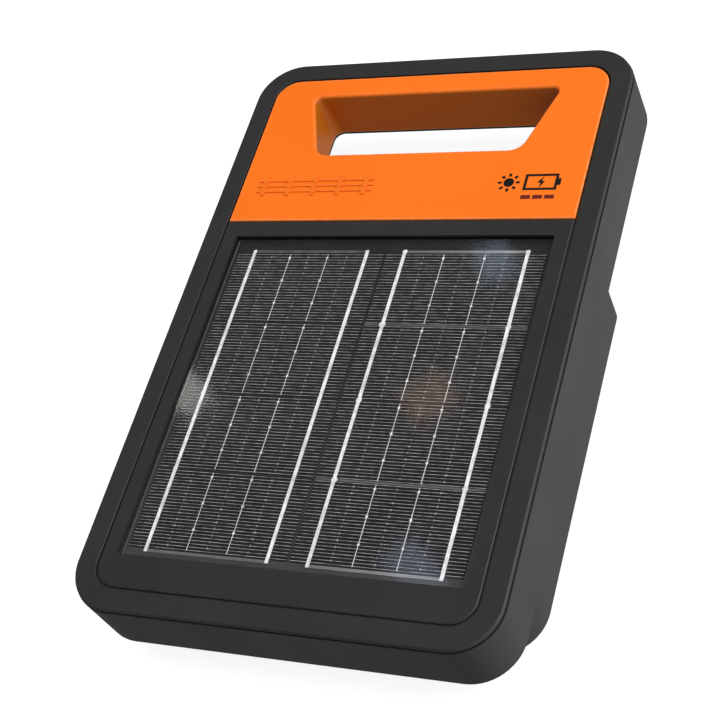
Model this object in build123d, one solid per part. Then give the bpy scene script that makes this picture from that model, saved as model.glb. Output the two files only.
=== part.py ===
from build123d import *
import math
import os

# Portable solar fence energizer, lying on its back with the solar panel facing up.
# X runs across the unit, +Y points to the carry handle, +Z comes out of the front face.
# The origin is under the middle of the unit, on the plane of the back face. Sizes in mm.

# ---- driving dimensions -------------------------------------------------------------
HOUSING_WIDTH = 196.6
HOUSING_LENGTH = 305.4
HOUSING_CORNER = 21.9
UNIT_DEPTH = 52.0          # front face to back face, through the deep lower half
UPPER_DEPTH = 32.0         # front face to back face at the carry handle
WALL = 2.5
NEAR = 0.01               # tolerance when picking edges
BACK_EDGE_RADIUS = 1.5

RIM_INSET = 0.45           # the front rim stands in from the rear housing's side
RIM_BAND = 9.9             # width of the flat band around the fascia and bezel
RIM_EDGE = 1.6             # height of the rim's visible edge
RIM_EDGE_RADIUS = 0.9
RIM_MOUTH_RADIUS = 0.5
RIM_FACE = 2.2             # thickness over the hollow channel under the flat band
RIM_WEB = 2.0              # walls on both sides of that channel
TONGUE_FIT = 0.2           # between the rim's tongue and the rear housing's wall
PARTING_GAP = 0.9
DECK_DEPTH = 4.8           # front face to the deck that carries panel and fascia
DECK = 2.2
INNER_CORNER = 12.4
COVER_GAP = 0.8            # shadow gap around the fascia and the bezel

FASCIA_BOTTOM_Y = 52.6
FASCIA_PLATE = 2.5
FASCIA_EDGE_RADIUS = 0.7
FASCIA_SKIRT = 2.0
BEZEL_GAP = 0.5            # between the fascia and the bezel
BEZEL_EDGE_RADIUS = 0.8
BEZEL_LEDGE = 1.0          # front face to the ledge at the bottom of the gap around the bezel
BEZEL_LEDGE_FIT = 0.15     # between that ledge and the rim
PANEL_OPENING_WIDTH = 160.0
PANEL_OPENING_LOW_Y = -126.0
PANEL_OPENING_HIGH_Y = 43.4
PANEL_RECESS = 1.5         # front face to the glass
PANEL_OVERLAP = 3.0        # how far the bezel covers the glass
PANEL_CORNER = 1.0
PANEL_FIT = 0.2            # around the glass in the bezel
PANEL_GASKET = 6.0         # width of the foam frame behind the panel

GLASS = 1.5
RIBBON = 0.25
CELL = 0.25
BACKSHEET = 0.6
CELL_WIDTH = 77.0
CELL_LENGTH = 38.8
CELL_PITCH_X = 77.9
CELL_PITCH_Y = 39.2
CELL_ROWS = 4
CELL_CENTRE_Y = -42.6
RIBBON_WIDTH = 1.6
RIBBON_OFFSET = 29.5       # from the middle of a cell to each of its two ribbons
BUS_STRIP_WIDTH = 1.4
BUS_STRIP_GAP = 0.3        # between the end of a column and its bus strip

HANDLE_TOP_Y = 130.0       # hand opening on the front face
HANDLE_BOTTOM_Y = 93.0
HANDLE_TOP_HALF = 64.7
HANDLE_BOTTOM_HALF = 51.2
HANDLE_TOP_RADIUS = 3.0
HANDLE_BOTTOM_RADIUS = 8.0
HANDLE_BACK_TOP_Y = 133.7  # hand opening on the back face
HANDLE_BACK_BOTTOM_Y = 90.5
HANDLE_BACK_HALF = 66.2
HANDLE_BACK_RADIUS = 5.0
HANDLE_WALL = 2.0
HANDLE_EDGE_RADIUS = 1.6
HANDLE_LIP = 1.5           # thickness of the rear housing's lip behind the duct
DUCT_FIT = 0.3             # around the duct in the deck
DUCT_SOCKET_FIT = 0.1      # around the duct in the rear housing
DUCT_SOCKET_WALL = 2.2
DUCT_SOCKET = 4.0          # height of the rear housing's collar around the duct
DUCT_FACE = 1.0            # front face to the start of the duct's walls

REAR_TOP_Y = 38.4          # the deep compartment's ends at the shelf
REAR_BOTTOM_Y = -132.4
REAR_TOP_CORNER = 3.5
REAR_BOTTOM_CORNER = 22.0
REAR_DRAFT = 1.5           # degrees
REAR_EDGE_RADIUS = 2.0
REAR_INNER_CORNER = 0.8    # smallest corner inside the compartment
POD_ROOT = 4.0             # the taper starts this far inside the upper half

# ---- levels worked out from them ------------------------------------------------------
FRONT_Z = UNIT_DEPTH
SHELF_Z = UNIT_DEPTH - UPPER_DEPTH
SHELF_IN_Z = SHELF_Z + WALL
FLANGE_Z = FRONT_Z - RIM_EDGE
PARTING_Z = FLANGE_Z - PARTING_GAP
DECK_Z = FRONT_Z - DECK_DEPTH
DECK_LOW_Z = DECK_Z - DECK
GLASS_Z = FRONT_Z - PANEL_RECESS
RIM_WIDTH = HOUSING_WIDTH - 2 * RIM_INSET
RIM_LENGTH = HOUSING_LENGTH - 2 * RIM_INSET
RIM_CORNER = HOUSING_CORNER - RIM_INSET
INNER_WIDTH = RIM_WIDTH - 2 * RIM_BAND
INNER_LENGTH = RIM_LENGTH - 2 * RIM_BAND
COVER_WIDTH = INNER_WIDTH - 2 * COVER_GAP
COVER_LENGTH = INNER_LENGTH - 2 * COVER_GAP
COVER_CORNER = INNER_CORNER - COVER_GAP
PANEL_MID_Y = (PANEL_OPENING_LOW_Y + PANEL_OPENING_HIGH_Y) / 2
PANEL_OPENING_LENGTH = PANEL_OPENING_HIGH_Y - PANEL_OPENING_LOW_Y
GLASS_WIDTH = PANEL_OPENING_WIDTH + 2 * PANEL_OVERLAP
GLASS_LENGTH = PANEL_OPENING_LENGTH + 2 * PANEL_OVERLAP
RIBBON_Z = GLASS_Z - GLASS - RIBBON
CELL_Z = RIBBON_Z - CELL
BACKSHEET_Z = CELL_Z - BACKSHEET
COLUMN_HALF = ((CELL_ROWS - 1) * CELL_PITCH_Y + CELL_LENGTH) / 2

# ---- fixings and inside parts --------------------------------------------------------
SCREW_SPOTS = [(side * x, y) for x, y in ((84, 138), (87, 62), (87, -45), (62, -142)) for side in (-1, 1)]
SCREW_SEAT_Z = 27.0
BOSS_MEET_Z = 30.0
SCREW_HEAD_R = 3.5
SCREW_HEAD = 2.6
SCREW_SHANK_R = 1.75
SCREW_TIP_Z = 41.0
SCREW_TIP_ROOM = 0.5
SCREW_CLEARANCE = 0.1
WELL_R = 4.0
REAR_BOSS_R = 5.5
RIM_BOSS_R = 4.5
BOSS_BITE = 2.0            # how far the rim's screw bosses grow into the deck
BOSS_ROOT = 1.0            # how far the rear bosses start inside the back wall
DRIVE_WIDTH = 0.8          # cross recess in the screw heads
DRIVE_DEPTH = 1.0
DRIVE_REACH = 1.1          # its length against the head's radius
SEAL_INSET = 1.1           # housing seal, in from the rear housing's side
SEAL_WIDTH = 1.2

BOARD_WIDTH = 100.0
BOARD_LOW_Y = -26.0
BOARD_HIGH_Y = 80.0
BOARD_Z = 32.0
BOARD = 1.6
BOARD_SPOTS = [(side * 45, y) for y in (75, -21) for side in (-1, 1)]
BOARD_CORNER = 2.0
POST_R = 3.5
POST_ROOT = 0.5            # how far the posts start inside the wall
BOARD_SCREW_R = 1.5
BOARD_SCREW_HEAD_R = 2.75
BOARD_SCREW_HEAD = 1.8
BOARD_SCREW_BITE = 7.0     # length of thread below the board
BOARD_SCREW_HOLE = 7.5

CONTROL_Y = 62.0           # the terminals, button, lamp and vent sit in one row on the shelf
TERMINAL_X = 66.0
STUD_R = 3.0
STUD_END_Z = 6.5
TERMINAL_SEAL = 1.0
LUG = 0.8
STUD_HEAD = 4.0
WASHER = 1.2
WASHER_R = 7.5
KNOB = 14.0
KNOB_R = 11.0
KNOB_FLUTES = 10
INSERT_R = 4.6
THREAD_CLEARANCE = 0.1
STUD_CHAMFER = 0.8
STUD_HEAD_R = 5.0          # across the flats of the hexagon head, halved
SEAL_R = 6.0
LUG_R = 5.5
LUG_REACH = 9.5            # from the stud to the crimped barrel
LUG_TAIL = 5.0
BARREL = 5.0
BARREL_R = 1.6
BARREL_FLOOR = 1.0
WASHER_CLEARANCE = 0.2
FLUTE_R = 2.6
FLUTE_REACH = KNOB_R + 1.2
FLUTE_COLLAR = 2.0         # plain ring left at the knob's inner end
KNOB_CHAMFER = 0.6
KNOB_END = 1.6             # thickness over the blind hole
INSERT = 9.0

BUTTON_R = 6.8
BUTTON_PROUD = 1.8
BUTTON_FLANGE_R = 8.6
BUTTON_FLANGE = 1.2
BUTTON_TRAVEL = 1.2
BUTTON_CLEARANCE = 0.2
BUTTON_EDGE_RADIUS = 0.7
BUTTON_SEAT = 0.2          # between the button's flange and the shelf
BUTTON_RING = 0.8
BUTTON_RING_R = BUTTON_R + 3.4
SWITCH_SIZE = 12.0
SWITCH = 5.0
SWITCH_CORNER = 0.6
SWITCH_FLOOR = 2.0
PLUNGER_R = 2.4
PLUNGER_CLEARANCE = 0.1
PLUNGER_TOP = 3.6          # from the board down to the plunger's end
LAMP_X = 24.0
LAMP_R = 2.4
LAMP = 4.5
LIGHT_PIPE_R = 2.0
LIGHT_PIPE_PROUD = 0.4
VENT_X = -28.0
VENT_R = 6.0
VENT_CAP = 1.2
VENT_STEM_R = VENT_R - 2.0
VENT_STEM = 1.5            # how far the stem stands inside the shelf

COVER_MID_Y = -81.0
SERVICE_WIDTH = 124.0
SERVICE_LENGTH = 90.0
SERVICE_COVER = 2.2
SERVICE_SEAL = 0.8
SERVICE_SEAT = 2.5
SERVICE_OPENING_WIDTH = 100.0
SERVICE_OPENING_LENGTH = 66.0
SERVICE_CORNER = 6.0
SERVICE_OPENING_CORNER = 4.0
SERVICE_FIT = 0.3          # around the cover in its recess
SERVICE_FRAME = 2.2        # wall around the recess
SERVICE_FRAME_CORNER = 8.0
SERVICE_FRAME_ROOT = 1.0
SERVICE_POST = 6.5         # height of the cover's screw posts
SERVICE_POST_HOLE = 5.0
COVER_SCREW_TIP_Z = 9.5
COVER_SCREW_HEAD = 1.1
COVER_SEAT_R = 3.0
COVER_SEAT = 1.2           # depth of the countersinks
COVER_SEAL_REACH = 3.0     # of the seal beyond the opening
COVER_SEAL_WIDTH = 2.5
COVER_SPOTS = [(sx * 57, COVER_MID_Y + sy * 40) for sy in (-1, 1) for sx in (-1, 1)]

BATTERY_R = 13.2
BATTERY_LENGTH = 65.5
BATTERY_PITCH = 28.0
BATTERY_Z = 21.5
BATTERY_EDGE_RADIUS = 1.0
BATTERY_BUTTON_R = 5.0     # the positive end
BATTERY_BUTTON = 1.5
LINK = 0.3                 # thickness of the nickel strips
LINK_HALF = 4.0
LINK_REACH = 6.0           # past each cell's middle
CARRIER_LOW_Z = 6.0
CARRIER_WALL = 2.0
CARRIER_GAP = 0.6          # between the cells and the end walls
CARRIER_FIT = 0.1
CARRIER_DROP = 4.0         # cradle edge below the cells' middle
CARRIER_LENGTH = SERVICE_OPENING_LENGTH - 4.0
CARRIER_WALL_ROOT = 1.0
CARRIER_CORNER = 2.0
PAD_WIDTH = 60.0
PAD_LENGTH = 46.0

KEYHOLE_X = 75.0
KEYHOLE_Y = 6.0
KEYHOLE_HEAD_R = 5.5
KEYHOLE_SLOT_R = 3.0
KEYHOLE_RISE = 11.0
KEYHOLE_POCKET = 7.0
KEYHOLE_POCKET_WIDTH = 2 * KEYHOLE_HEAD_R + 2.0
KEYHOLE_POCKET_LENGTH = KEYHOLE_RISE + 2 * KEYHOLE_HEAD_R + 4.0
KEYHOLE_POCKET_WALL = 1.5
KEYHOLE_POCKET_SHIFT = 0.5

JUNCTION_WIDTH = 30.0
JUNCTION_LENGTH = 18.0
JUNCTION_CORNER = 1.5
JUNCTION_LOW_Z = 39.5
JUNCTION_Y = -60.0
JUNCTION_ROOM = 2.0        # around the junction box in the deck

WIRE_R = 1.0
PAIR_SPREAD = 1.25         # half the spacing of the two wires of a pair
SOCKET_Y = -19.0
SOCKET_WIDTH = 9.0
SOCKET_LENGTH = 7.0
SOCKET_CORNER = 0.6
SOCKET = 5.5
PANEL_SOCKET_X = 20.0
BATTERY_SOCKET_X = -20.0

CORE_X = -20.0             # transformer, hanging under the board
CORE_Y = 9.0
CORE_LOW_Z = 7.0
CORE_WIDTH = 40.0
CORE_LENGTH = 32.0
CORE_LEG = 6.0
CORE_POST = 10.0
CORE_POST_BITE = 1.0
CORE_FOOT = 2.0            # height of the feet between core and board
CORE_FOOT_WIDTH = 5.0
CORE_FOOT_LENGTH = 34.0
CORE_FOOT_X = 15.0
WINDING_WIDTH = 27.0
WINDING_LENGTH = 40.0
WINDING_CORNER = 3.0
WINDING_GAP = 0.5          # between the winding and the core's legs
WINDING_FIT = 0.3          # between the winding and the core's post

CAPACITOR_X = 26.0
CAPACITOR_Y = 12.0
CAPACITOR_WIDTH = 32.0
CAPACITOR_LENGTH = 26.0
CAPACITOR = 24.0
CAPACITOR_CORNER = 1.5
INDUCTOR_X = 18.0
INDUCTOR_Y = -14.0
INDUCTOR_R = 6.5
INDUCTOR_WAIST_R = 4.5
INDUCTOR = 9.0
INDUCTOR_FLANGE = 1.5
THYRISTOR_X = -38.0
THYRISTOR_Y = 47.0
THYRISTOR_WIDTH = 10.0
THYRISTOR_LENGTH = 9.5
THYRISTOR = 5.7
THYRISTOR_CORNER = 0.4
TAB = 1.3
TAB_LENGTH = 16.0
TAB_SHIFT = 3.0
CHIP_X = 12.0
CHIP_Y = 30.0
CHIP_WIDTH = 8.0
CHIP_LENGTH = 5.0
CHIP = 1.6
CHIP_CORNER = 0.3

# ---- levels of the inside parts --------------------------------------------------------
BOARD_TOP_Z = BOARD_Z + BOARD
SERVICE_SEAT_LOW_Z = SERVICE_COVER + SERVICE_SEAL
SERVICE_SEAT_HIGH_Z = SERVICE_SEAT_LOW_Z + SERVICE_SEAT
LUG_Z = SHELF_IN_Z + TERMINAL_SEAL
STUD_HEAD_Z = LUG_Z + LUG
BARREL_Z = LUG_Z + BARREL_R
KNOB_TOP_Z = SHELF_Z - WASHER
KNOB_LOW_Z = KNOB_TOP_Z - KNOB
SOCKET_WIRE_Z = BOARD_TOP_Z + 2.6
SWITCH_LOW_Z = BOARD_Z - SWITCH
BUTTON_LOW_Z = SHELF_Z - BUTTON_PROUD
BUTTON_FLANGE_Z = SHELF_IN_Z + BUTTON_SEAT
PLUNGER_LOW_Z = BUTTON_FLANGE_Z + BUTTON_FLANGE


# ---- shape helpers ------------------------------------------------------------------
def slab(width, length, corner, low, high, x=0.0, y=0.0):
    """A flat block with rounded corners between two levels."""
    if corner > 0:
        outline = RectangleRounded(width, length, corner)
    else:
        outline = Rectangle(width, length)
    return extrude(Pos(x, y, low) * outline, high - low)


def rod(radius, low, high, x=0.0, y=0.0):
    """An upright cylinder between two levels."""
    return extrude(Pos(x, y, low) * Circle(radius), high - low)


def tube(outer, inner, low, high, x=0.0, y=0.0):
    """An upright ring between two levels."""
    return rod(outer, low, high, x, y) - rod(inner, low, high, x, y)


def frame(width, length, corner, thickness, low, high, y=0.0):
    """A rounded frame of one wall thickness."""
    inner_corner = max(corner - thickness, 0.3)
    inner = slab(width - 2 * thickness, length - 2 * thickness, inner_corner, low, high, 0, y)
    return slab(width, length, corner, low, high, 0, y) - inner


def flat_edges(shape, level):
    """The edges that lie flat at one level."""
    return shape.edges().filter_by_position(Axis.Z, level - 0.001, level + 0.001)


def hand_opening(grow, low, high):
    """The carry handle's opening, flaring from the front face to the back face."""
    front = make_face(Polyline(
        (-HANDLE_BOTTOM_HALF, HANDLE_BOTTOM_Y), (HANDLE_BOTTOM_HALF, HANDLE_BOTTOM_Y),
        (HANDLE_TOP_HALF, HANDLE_TOP_Y), (-HANDLE_TOP_HALF, HANDLE_TOP_Y), close=True,
    ))
    corners = front.vertices().sort_by(Axis.Y)
    front = fillet(corners[:2], HANDLE_BOTTOM_RADIUS)
    front = fillet(front.vertices().sort_by(Axis.Y)[-2:], HANDLE_TOP_RADIUS)
    back_length = HANDLE_BACK_TOP_Y - HANDLE_BACK_BOTTOM_Y
    back_mid = (HANDLE_BACK_TOP_Y + HANDLE_BACK_BOTTOM_Y) / 2
    back = Pos(0, back_mid) * RectangleRounded(2 * HANDLE_BACK_HALF, back_length, HANDLE_BACK_RADIUS)
    if grow > 0:
        front = offset(front, grow)
        back = offset(back, grow)
    spread = loft([Pos(0, 0, SHELF_Z) * back.face(), Pos(0, 0, FRONT_Z) * front.face()], ruled=True)
    band = slab(HOUSING_WIDTH, HOUSING_LENGTH, 0, max(low, SHELF_Z), min(high, FRONT_Z))
    return spread & band


def lead(points, radius):
    """A wire along straight runs joined by the largest tangent arcs that fit."""
    route = [Vector(*p) for p in points]
    arcs = []
    for before, corner, after in zip(route, route[1:], route[2:]):
        run_in = corner - before
        run_out = after - corner
        half_turn = math.radians(run_in.get_angle(run_out)) / 2
        arcs.append(0.45 * min(run_in.length, run_out.length) / math.tan(half_turn))
    path = FilletPolyline(*route, radius=arcs)
    section = Plane(path @ 0, z_dir=path % 0) * Circle(radius)
    wire = sweep(section, path=path)
    fill = wire.volume / (math.pi * radius**2 * path.length)
    print(f"lead length {path.length:.1f}, tightest arc {min(arcs):.1f}, fill {fill:.4f}")
    return wire


def screws(spots, seat, tip, head_r, head, shank_r, facing):
    """Pan-head screws, each a separate solid. facing is the way the heads point along Z."""
    made = []
    top = seat + facing * head
    drive = sorted((top, top - facing * DRIVE_DEPTH))
    reach = head_r * DRIVE_REACH
    for x, y in spots:
        body = rod(head_r, min(seat, top), max(seat, top), x, y)
        slot = slab(reach, DRIVE_WIDTH, 0, *drive, x, y)
        cross = slab(DRIVE_WIDTH, reach, 0, *drive, x, y)
        shank = rod(shank_r, min(seat, tip), max(seat, tip), x, y)
        made.append(body - slot - cross + shank)
    return Compound([s.solid() for s in made])


# ---- front: rim, bezel, fascia --------------------------------------------------------
def make_front_rim():
    """Outer frame of the front, with the deck that carries the panel and the fascia."""
    tongue_inset = HOUSING_WIDTH / 2 - WALL - TONGUE_FIT
    tongue_cut = RIM_WIDTH / 2 - tongue_inset
    rim = slab(RIM_WIDTH, RIM_LENGTH, RIM_CORNER, FLANGE_Z, FRONT_Z)
    rim = fillet(flat_edges(rim, FRONT_Z), RIM_EDGE_RADIUS)
    rim += slab(RIM_WIDTH - 2 * tongue_cut, RIM_LENGTH - 2 * tongue_cut, RIM_CORNER - tongue_cut,
                DECK_LOW_Z, FLANGE_Z)
    rim -= slab(INNER_WIDTH, INNER_LENGTH, INNER_CORNER, DECK_Z, FRONT_Z)
    mouth = [e for e in flat_edges(rim, FRONT_Z)
             if abs(e.center().X) < INNER_WIDTH / 2 + NEAR and abs(e.center().Y) < INNER_LENGTH / 2 + NEAR]
    rim = fillet(mouth, RIM_MOUTH_RADIUS)
    channel_outset = tongue_cut + RIM_WEB
    channel = RIM_BAND - RIM_WEB - channel_outset
    rim -= frame(RIM_WIDTH - 2 * channel_outset, RIM_LENGTH - 2 * channel_outset,
                 RIM_CORNER - channel_outset, channel, DECK_LOW_Z, FRONT_Z - RIM_FACE)
    for x, y in SCREW_SPOTS:
        rim += rod(RIM_BOSS_R, BOSS_MEET_Z, DECK_LOW_Z + BOSS_BITE, x, y)
        rim -= rod(SCREW_SHANK_R, BOSS_MEET_Z, SCREW_TIP_Z + SCREW_TIP_ROOM, x, y)
    rim -= slab(JUNCTION_WIDTH + 2 * JUNCTION_ROOM, JUNCTION_LENGTH + 2 * JUNCTION_ROOM, JUNCTION_ROOM,
                DECK_LOW_Z, DECK_Z, 0, JUNCTION_Y)
    rim -= hand_opening(HANDLE_WALL + DUCT_FIT, DECK_LOW_Z, DECK_Z)
    return rim


def make_panel_bezel():
    """Black frame over the edge of the solar panel, with a ledge that closes the gap around it."""
    top_y = FASCIA_BOTTOM_Y - BEZEL_GAP
    ledge = COVER_GAP - BEZEL_LEDGE_FIT
    above = slab(HOUSING_WIDTH, HOUSING_LENGTH, 0, DECK_Z, FRONT_Z, 0, top_y + HOUSING_LENGTH / 2)
    bezel = slab(COVER_WIDTH, COVER_LENGTH, COVER_CORNER, DECK_Z, FRONT_Z) - above
    bezel = fillet(flat_edges(bezel, FRONT_Z), BEZEL_EDGE_RADIUS)
    bezel += slab(COVER_WIDTH + 2 * ledge, COVER_LENGTH + 2 * ledge, COVER_CORNER + ledge,
                  DECK_Z, FRONT_Z - BEZEL_LEDGE) - above
    bezel -= slab(PANEL_OPENING_WIDTH, PANEL_OPENING_LENGTH, PANEL_CORNER, GLASS_Z, FRONT_Z, 0, PANEL_MID_Y)
    bezel -= slab(GLASS_WIDTH + 2 * PANEL_FIT, GLASS_LENGTH + 2 * PANEL_FIT, PANEL_CORNER + PANEL_FIT,
                  DECK_Z, GLASS_Z, 0, PANEL_MID_Y)
    return bezel


def make_handle_fascia():
    """Orange front plate with the duct that lines the hand opening."""
    plate = slab(COVER_WIDTH, COVER_LENGTH, COVER_CORNER, DECK_Z, FRONT_Z)
    plate -= slab(HOUSING_WIDTH, HOUSING_LENGTH, 0, DECK_Z, FRONT_Z, 0,
                  FASCIA_BOTTOM_Y - HOUSING_LENGTH / 2)
    plate = fillet(flat_edges(plate, FRONT_Z), FASCIA_EDGE_RADIUS)
    hollow_top = COVER_LENGTH / 2 - FASCIA_SKIRT
    hollow_low = FASCIA_BOTTOM_Y + FASCIA_SKIRT
    plate -= slab(COVER_WIDTH - 2 * FASCIA_SKIRT, hollow_top - hollow_low, COVER_CORNER - FASCIA_SKIRT,
                  DECK_Z, FRONT_Z - FASCIA_PLATE, 0, (hollow_top + hollow_low) / 2)
    plate += hand_opening(HANDLE_WALL, SHELF_Z + HANDLE_LIP, FRONT_Z - DUCT_FACE)
    plate -= hand_opening(0, SHELF_Z, FRONT_Z)
    mouth = [e for e in flat_edges(plate, FRONT_Z)
             if abs(e.center().X) < HANDLE_TOP_HALF + NEAR
             and HANDLE_BOTTOM_Y - NEAR < e.center().Y < HANDLE_TOP_Y + NEAR]
    return fillet(mouth, HANDLE_EDGE_RADIUS)


# ---- solar panel ----------------------------------------------------------------------
def cell_places():
    """Centres of the cells, column by column."""
    return [(side * CELL_PITCH_X / 2, CELL_CENTRE_Y + (row - (CELL_ROWS - 1) / 2) * CELL_PITCH_Y)
            for side in (-1, 1) for row in range(CELL_ROWS)]


def make_cells():
    """Eight cut wafers in two columns."""
    return Compound([slab(CELL_WIDTH, CELL_LENGTH, 0, CELL_Z, RIBBON_Z, x, y).solid()
                     for x, y in cell_places()])


def make_ribbons():
    """Two tinned ribbons down each column, ending on the bus strips."""
    length = 2 * (COLUMN_HALF + BUS_STRIP_GAP + BUS_STRIP_WIDTH)
    made = []
    for side in (-1, 1):
        for edge in (-1, 1):
            x = side * CELL_PITCH_X / 2 + edge * RIBBON_OFFSET
            made.append(slab(RIBBON_WIDTH, length, 0, RIBBON_Z, RIBBON_Z + RIBBON, x, CELL_CENTRE_Y))
    return Compound([r.solid() for r in made])


def make_bus_strips():
    """Cross strips that join the ribbons beyond the ends of the columns."""
    strip_y = COLUMN_HALF + BUS_STRIP_GAP + BUS_STRIP_WIDTH / 2
    span = 2 * RIBBON_OFFSET + RIBBON_WIDTH
    made = []
    for side in (-1, 1):
        for end in (-1, 1):
            made.append(slab(span, BUS_STRIP_WIDTH, 0, CELL_Z, CELL_Z + RIBBON,
                             side * CELL_PITCH_X / 2, CELL_CENTRE_Y + end * strip_y))
    return Compound([s.solid() for s in made])


# ---- rear housing ---------------------------------------------------------------------
def rear_outline(shrink):
    """The deep compartment's outline at the shelf."""
    length = REAR_TOP_Y - REAR_BOTTOM_Y - 2 * shrink
    face = Pos(0, (REAR_TOP_Y + REAR_BOTTOM_Y) / 2) * Rectangle(HOUSING_WIDTH - 2 * shrink, length)
    face = fillet(face.vertices().sort_by(Axis.Y)[:2], REAR_BOTTOM_CORNER - shrink)
    return fillet(face.vertices().sort_by(Axis.Y)[-2:], max(REAR_TOP_CORNER - shrink, REAR_INNER_CORNER))


def rear_pod(shrink, low):
    """The deep compartment as a solid, tapering from inside the upper half towards the back."""
    top = SHELF_Z + POD_ROOT
    return extrude(Pos(0, 0, top) * rear_outline(shrink), low - top, taper=REAR_DRAFT)


def keyhole(x):
    """A keyhole through the back wall, with its round entry below its slot."""
    hole = rod(KEYHOLE_HEAD_R, 0, WALL, x, KEYHOLE_Y)
    hole += slab(2 * KEYHOLE_SLOT_R, KEYHOLE_RISE, 0, 0, WALL, x, KEYHOLE_Y + KEYHOLE_RISE / 2)
    return hole + rod(KEYHOLE_SLOT_R, 0, WALL, x, KEYHOLE_Y + KEYHOLE_RISE)


def make_rear_housing():
    """Stepped rear shell with its wells, posts, keyhole pockets and service opening."""
    upper = slab(HOUSING_WIDTH, HOUSING_LENGTH, HOUSING_CORNER, SHELF_Z, PARTING_Z)
    upper = fillet(flat_edges(upper, SHELF_Z), BACK_EDGE_RADIUS)
    pod = fillet(flat_edges(rear_pod(0, 0), 0), REAR_EDGE_RADIUS)
    inside = slab(HOUSING_WIDTH - 2 * WALL, HOUSING_LENGTH - 2 * WALL, HOUSING_CORNER - WALL,
                  SHELF_IN_Z, PARTING_Z)
    inside += rear_pod(WALL, WALL)
    shell = upper + pod - inside

    pocket_high = WALL + KEYHOLE_POCKET
    pocket_y = KEYHOLE_Y + KEYHOLE_RISE / 2 - KEYHOLE_POCKET_SHIFT
    pocket_wall = 2 * KEYHOLE_POCKET_WALL
    for side in (-1, 1):
        x = side * KEYHOLE_X
        shell += slab(KEYHOLE_POCKET_WIDTH + pocket_wall, KEYHOLE_POCKET_LENGTH + pocket_wall, 2.0,
                      WALL, pocket_high + KEYHOLE_POCKET_WALL, x, pocket_y)
        shell -= slab(KEYHOLE_POCKET_WIDTH, KEYHOLE_POCKET_LENGTH, 1.0, WALL, pocket_high, x, pocket_y)
        shell -= keyhole(x)

    for x, y in SCREW_SPOTS:
        floor = 0 if REAR_BOTTOM_Y < y < REAR_TOP_Y else SHELF_Z
        shell += rod(REAR_BOSS_R, floor + BOSS_ROOT, BOSS_MEET_Z, x, y)
        shell -= rod(WELL_R, floor, SCREW_SEAT_Z, x, y)
        shell -= rod(SCREW_SHANK_R + SCREW_CLEARANCE, SCREW_SEAT_Z, BOSS_MEET_Z, x, y)
    for x, y in BOARD_SPOTS:
        floor = WALL if y < REAR_TOP_Y else SHELF_IN_Z
        shell += rod(POST_R, floor - POST_ROOT, BOARD_Z, x, y)
        shell -= rod(BOARD_SCREW_R, BOARD_Z - BOARD_SCREW_HOLE, BOARD_Z, x, y)

    shell += slab(SERVICE_WIDTH + 2 * SERVICE_FRAME, SERVICE_LENGTH + 2 * SERVICE_FRAME,
                  SERVICE_FRAME_CORNER, SERVICE_FRAME_ROOT, SERVICE_SEAT_HIGH_Z, 0, COVER_MID_Y)
    shell -= slab(SERVICE_WIDTH + 2 * SERVICE_FIT, SERVICE_LENGTH + 2 * SERVICE_FIT,
                  SERVICE_CORNER + SERVICE_FIT, 0, SERVICE_SEAT_LOW_Z, 0, COVER_MID_Y)
    shell -= slab(SERVICE_OPENING_WIDTH, SERVICE_OPENING_LENGTH, SERVICE_OPENING_CORNER,
                  0, SERVICE_SEAT_HIGH_Z, 0, COVER_MID_Y)
    for x, y in COVER_SPOTS:
        shell += rod(POST_R, SERVICE_SEAT_HIGH_Z - POST_ROOT, SERVICE_SEAT_HIGH_Z + SERVICE_POST, x, y)
        shell -= rod(BOARD_SCREW_R, SERVICE_SEAT_LOW_Z, SERVICE_SEAT_HIGH_Z + SERVICE_POST_HOLE, x, y)

    collar_top = SHELF_IN_Z + DUCT_SOCKET
    shell += hand_opening(HANDLE_WALL + DUCT_SOCKET_WALL, SHELF_Z + BOSS_ROOT, collar_top)
    shell -= hand_opening(HANDLE_WALL + DUCT_SOCKET_FIT, SHELF_Z + HANDLE_LIP, collar_top)
    shell -= hand_opening(0, SHELF_Z, SHELF_Z + HANDLE_LIP)

    for side in (-1, 1):
        shell -= rod(STUD_R, SHELF_Z, SHELF_IN_Z, side * TERMINAL_X, CONTROL_Y)
    shell -= rod(BUTTON_R + BUTTON_CLEARANCE, SHELF_Z, SHELF_IN_Z, 0, CONTROL_Y)
    shell -= rod(LIGHT_PIPE_R, SHELF_Z, SHELF_IN_Z, LAMP_X, CONTROL_Y)
    shell -= rod(VENT_STEM_R, SHELF_Z, SHELF_IN_Z, VENT_X, CONTROL_Y)
    return shell


def make_battery_cover():
    """Flat cover with a countersunk hole for each of its screws."""
    cover = slab(SERVICE_WIDTH, SERVICE_LENGTH, SERVICE_CORNER, 0, SERVICE_COVER, 0, COVER_MID_Y)
    for spot in COVER_SPOTS:
        cover -= rod(COVER_SEAT_R, 0, COVER_SEAT, *spot)
        cover -= rod(BOARD_SCREW_R, 0, SERVICE_COVER, *spot)
    return cover


# ---- battery ---------------------------------------------------------------------------
def battery_rows():
    return [COVER_MID_Y - BATTERY_PITCH / 2, COVER_MID_Y + BATTERY_PITCH / 2]


def lying_rod(radius, length, y, z, x=0.0):
    """A cylinder along X, centred on x."""
    return Pos(x - length / 2, y, z) * Rot(0, 90, 0) * extrude(Circle(radius), length)


def make_battery_cells():
    """Two round cells, each with its raised positive end."""
    made = []
    for y in battery_rows():
        body = lying_rod(BATTERY_R, BATTERY_LENGTH - BATTERY_BUTTON, y, BATTERY_Z, -BATTERY_BUTTON / 2)
        body = fillet(body.edges(), BATTERY_EDGE_RADIUS)
        end_x = BATTERY_LENGTH / 2 - BATTERY_BUTTON
        made.append(body + lying_rod(BATTERY_BUTTON_R, 2 * BATTERY_BUTTON, y, BATTERY_Z, end_x))
    return Compound([b.solid() for b in made])


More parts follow.
